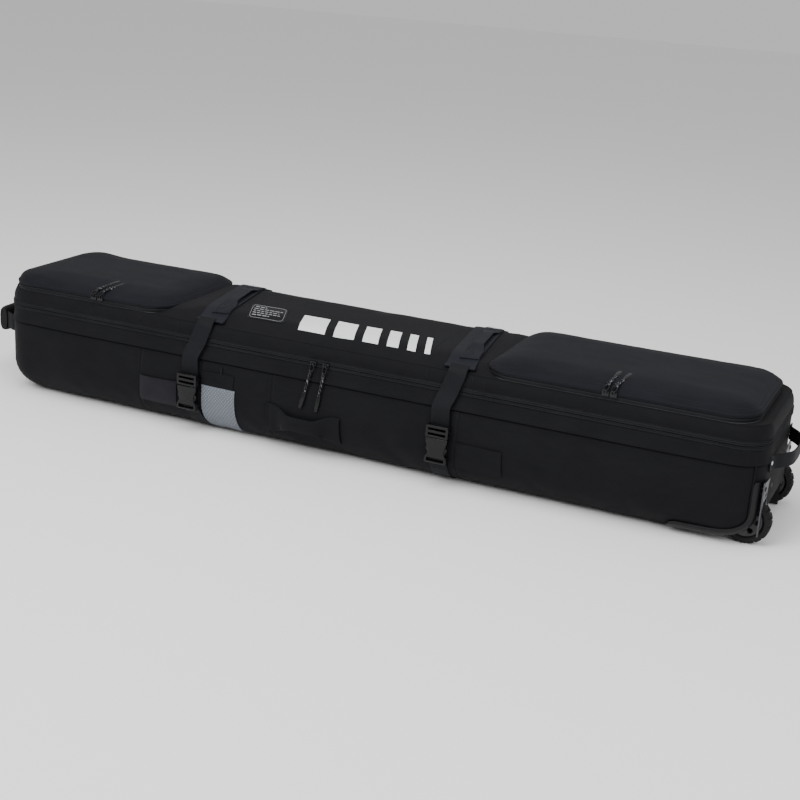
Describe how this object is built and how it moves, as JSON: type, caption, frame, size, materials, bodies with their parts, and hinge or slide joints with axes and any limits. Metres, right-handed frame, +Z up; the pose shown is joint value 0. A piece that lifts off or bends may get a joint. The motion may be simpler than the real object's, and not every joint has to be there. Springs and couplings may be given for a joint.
{
  "type": "snowboard bag",
  "caption": "Long padded wheeled snowboard bag with a zipped lid, top gear pockets, buckled compression straps and end handles.",
  "frame": {"origin": "centre of the flat base, on the ground", "axes": "+X towards the wheel end, +Y towards the lid's hinge, +Z up; the front with the buckles faces -Y"},
  "size_m": [1.769, 0.366, 0.2723],
  "materials": {
    "body_fabric": "matte woven polyester",
    "top_fabric": "coated woven polyester, slight sheen",
    "webbing": "ribbed webbing",
    "zip_tape": "coil zip tape",
    "buckle_plastic": "gloss moulded acetal",
    "moulded_guard": "grained moulding",
    "wheel_plastic": "moulded hub",
    "wheel_tyre": "treaded urethane",
    "steel": "plain",
    "dark_steel": "blackened",
    "bracket_metal": "satin",
    "grip_rubber": "matte grip",
    "reflective": "retro-reflective weave",
    "board_plastic": "plain sheet",
    "label": "woven label",
    "slider_metal": "black coated",
    "pull_plastic": "moulded grip on a cord loop"
  },
  "bodies": {
    "tub": {"tub_shell": "body_fabric", "base_panel": "moulded_guard", "base_board": "board_plastic", "tub_zip_tape": "zip_tape", "front_wheel_guard": "moulded_guard", "rear_wheel_guard": "moulded_guard", "front_wheel_bracket": "bracket_metal", "rear_wheel_bracket": "bracket_metal", "bracket_screws": "dark_steel", "wheel_axles": "steel", "handle_tabs": "webbing", "handle_rivets": "steel", "side_handle": "webbing", "reflective_patch": "reflective", "side_patch": "grip_rubber", "id_pocket": "top_fabric", "tie_down_straps": "webbing", "tie_down_buckles": "buckle_plastic", "left_lower_strap": "webbing", "right_lower_strap": "webbing", "left_buckle_socket": "buckle_plastic", "right_buckle_socket": "buckle_plastic"},
    "lid": {"lid_shell": "body_fabric", "lid_zip_tape": "zip_tape", "left_pocket_band": "webbing", "right_pocket_band": "webbing", "left_top_band": "webbing", "right_top_band": "webbing", "left_drop_strap": "webbing", "right_drop_strap": "webbing", "top_label": "label"},
    "left_flap": {"left_pocket_flap": "top_fabric"},
    "right_flap": {"right_pocket_flap": "top_fabric"},
    "left_tongue": {"left_buckle_tongue": "buckle_plastic"},
    "left_prong_a": {"left_prong_a": "buckle_plastic"},
    "left_prong_b": {"left_prong_b": "buckle_plastic"},
    "right_tongue": {"right_buckle_tongue": "buckle_plastic"},
    "right_prong_a": {"right_prong_a": "buckle_plastic"},
    "right_prong_b": {"right_prong_b": "buckle_plastic"},
    "main_slider_left": {"main_slider_left": "slider_metal"},
    "main_pull_left": {"main_pull_left": "pull_plastic"},
    "main_slider_right": {"main_slider_right": "slider_metal"},
    "main_pull_right": {"main_pull_right": "pull_plastic"},
    "left_pocket_slider_a": {"left_pocket_slider_a": "slider_metal"},
    "left_pocket_pull_a": {"left_pocket_pull_a": "pull_plastic"},
    "left_pocket_slider_b": {"left_pocket_slider_b": "slider_metal"},
    "left_pocket_pull_b": {"left_pocket_pull_b": "pull_plastic"},
    "right_pocket_slider_a": {"right_pocket_slider_a": "slider_metal"},
    "right_pocket_pull_a": {"right_pocket_pull_a": "pull_plastic"},
    "right_pocket_slider_b": {"right_pocket_slider_b": "slider_metal"},
    "right_pocket_pull_b": {"right_pocket_pull_b": "pull_plastic"},
    "front_wheel": {"front_wheel_tyre": "wheel_tyre", "front_wheel_hub": "wheel_plastic", "front_wheel_bearings": "steel"},
    "rear_wheel": {"rear_wheel_tyre": "wheel_tyre", "rear_wheel_hub": "wheel_plastic", "rear_wheel_bearings": "steel"},
    "wheel_end_handle": {"wheel_end_handle": "webbing"},
    "nose_handle": {"nose_handle": "webbing", "nose_grip": "grip_rubber"}
  },
  "joints": [
    {"name": "lid_hinge", "type": "hinge", "parent": "tub", "child": "lid", "pos_m": [0, 0.1613, 0.195], "axis": [-1, 0, 0], "range_deg": [0, 110]},
    {"name": "left_flap_hinge", "type": "hinge", "parent": "lid", "child": "left_flap", "pos_m": [-0.6175, 0.1533, 0.2399], "axis": [-1, 0, 0], "range_deg": [0, 100]},
    {"name": "right_flap_hinge", "type": "hinge", "parent": "lid", "child": "right_flap", "pos_m": [0.5455, 0.1533, 0.2399], "axis": [-1, 0, 0], "range_deg": [0, 100]},
    {"name": "left_buckle_release", "type": "slide", "parent": "lid", "child": "left_tongue", "axis": [0, 0, 1], "range_m": [0, 0.03]},
    {"name": "left_prong_a_squeeze", "type": "hinge", "parent": "left_tongue", "child": "left_prong_a", "pos_m": [-0.349, -0.187, 0.101], "axis": [0, -1, 0], "range_deg": [0, 8], "stiffness_Nm_per_rad": 0.05},
    {"name": "left_prong_b_squeeze", "type": "hinge", "parent": "left_tongue", "child": "left_prong_b", "pos_m": [-0.327, -0.187, 0.101], "axis": [0, 1, 0], "range_deg": [0, 8], "stiffness_Nm_per_rad": 0.05},
    {"name": "right_buckle_release", "type": "slide", "parent": "lid", "child": "right_tongue", "axis": [0, 0, 1], "range_m": [0, 0.03]},
    {"name": "right_prong_a_squeeze", "type": "hinge", "parent": "right_tongue", "child": "right_prong_a", "pos_m": [0.211, -0.187, 0.101], "axis": [0, -1, 0], "range_deg": [0, 8], "stiffness_Nm_per_rad": 0.05},
    {"name": "right_prong_b_squeeze", "type": "hinge", "parent": "right_tongue", "child": "right_prong_b", "pos_m": [0.233, -0.187, 0.101], "axis": [0, 1, 0], "range_deg": [0, 8], "stiffness_Nm_per_rad": 0.05},
    {"name": "main_zip_left", "type": "slide", "parent": "tub", "child": "main_slider_left", "axis": [1, 0, 0], "range_m": [-0.2, 0]},
    {"name": "main_pull_left_swing", "type": "hinge", "parent": "main_slider_left", "child": "main_pull_left", "pos_m": [-0.061, -0.169, 0.195], "axis": [-1, 0, 0], "range_deg": [0, 100]},
    {"name": "main_zip_right", "type": "slide", "parent": "tub", "child": "main_slider_right", "axis": [1, 0, 0], "range_m": [0, 0.2]},
    {"name": "main_pull_right_swing", "type": "hinge", "parent": "main_slider_right", "child": "main_pull_right", "pos_m": [-0.033, -0.169, 0.195], "axis": [-1, 0, 0], "range_deg": [0, 100]},
    {"name": "left_pocket_zip_a", "type": "slide", "parent": "left_flap", "child": "left_pocket_slider_a", "axis": [1, 0, 0], "range_m": [-0.14, 0]},
    {"name": "left_pocket_pull_a_swing", "type": "hinge", "parent": "left_pocket_slider_a", "child": "left_pocket_pull_a", "pos_m": [-0.592, -0.161, 0.25], "axis": [1, 0, 0], "range_deg": [0, 180]},
    {"name": "left_pocket_zip_b", "type": "slide", "parent": "left_flap", "child": "left_pocket_slider_b", "axis": [1, 0, 0], "range_m": [0, 0.09]},
    {"name": "left_pocket_pull_b_swing", "type": "hinge", "parent": "left_pocket_slider_b", "child": "left_pocket_pull_b", "pos_m": [-0.576, -0.161, 0.25], "axis": [1, 0, 0], "range_deg": [0, 180]},
    {"name": "right_pocket_zip_a", "type": "slide", "parent": "right_flap", "child": "right_pocket_slider_a", "axis": [1, 0, 0], "range_m": [-0.15, 0]},
    {"name": "right_pocket_pull_a_swing", "type": "hinge", "parent": "right_pocket_slider_a", "child": "right_pocket_pull_a", "pos_m": [0.531, -0.161, 0.25], "axis": [1, 0, 0], "range_deg": [0, 180]},
    {"name": "right_pocket_zip_b", "type": "slide", "parent": "right_flap", "child": "right_pocket_slider_b", "axis": [1, 0, 0], "range_m": [0, 0.17]},
    {"name": "right_pocket_pull_b_swing", "type": "hinge", "parent": "right_pocket_slider_b", "child": "right_pocket_pull_b", "pos_m": [0.546, -0.161, 0.25], "axis": [1, 0, 0], "range_deg": [0, 180]},
    {"name": "front_wheel_spin", "type": "hinge", "parent": "tub", "child": "front_wheel", "pos_m": [0.806, -0.1145, 0.0453], "axis": [0, 1, 0], "continuous": true},
    {"name": "rear_wheel_spin", "type": "hinge", "parent": "tub", "child": "rear_wheel", "pos_m": [0.806, 0.1145, 0.0453], "axis": [0, 1, 0], "continuous": true},
    {"name": "wheel_end_handle_swing", "type": "hinge", "parent": "tub", "child": "wheel_end_handle", "pos_m": [0.8455, 0, 0.154], "axis": [0, 1, 0], "range_deg": [-50, 40]},
    {"name": "nose_handle_swing", "type": "hinge", "parent": "tub", "child": "nose_handle", "pos_m": [-0.851, 0, 0.131], "axis": [0, 1, 0], "range_deg": [-50, 50]}
  ],
  "couplings": [
    {"joint": "left_prong_b_squeeze", "follows": "left_prong_a_squeeze", "ratio": 1},
    {"joint": "right_prong_b_squeeze", "follows": "right_prong_a_squeeze", "ratio": 1}
  ]
}
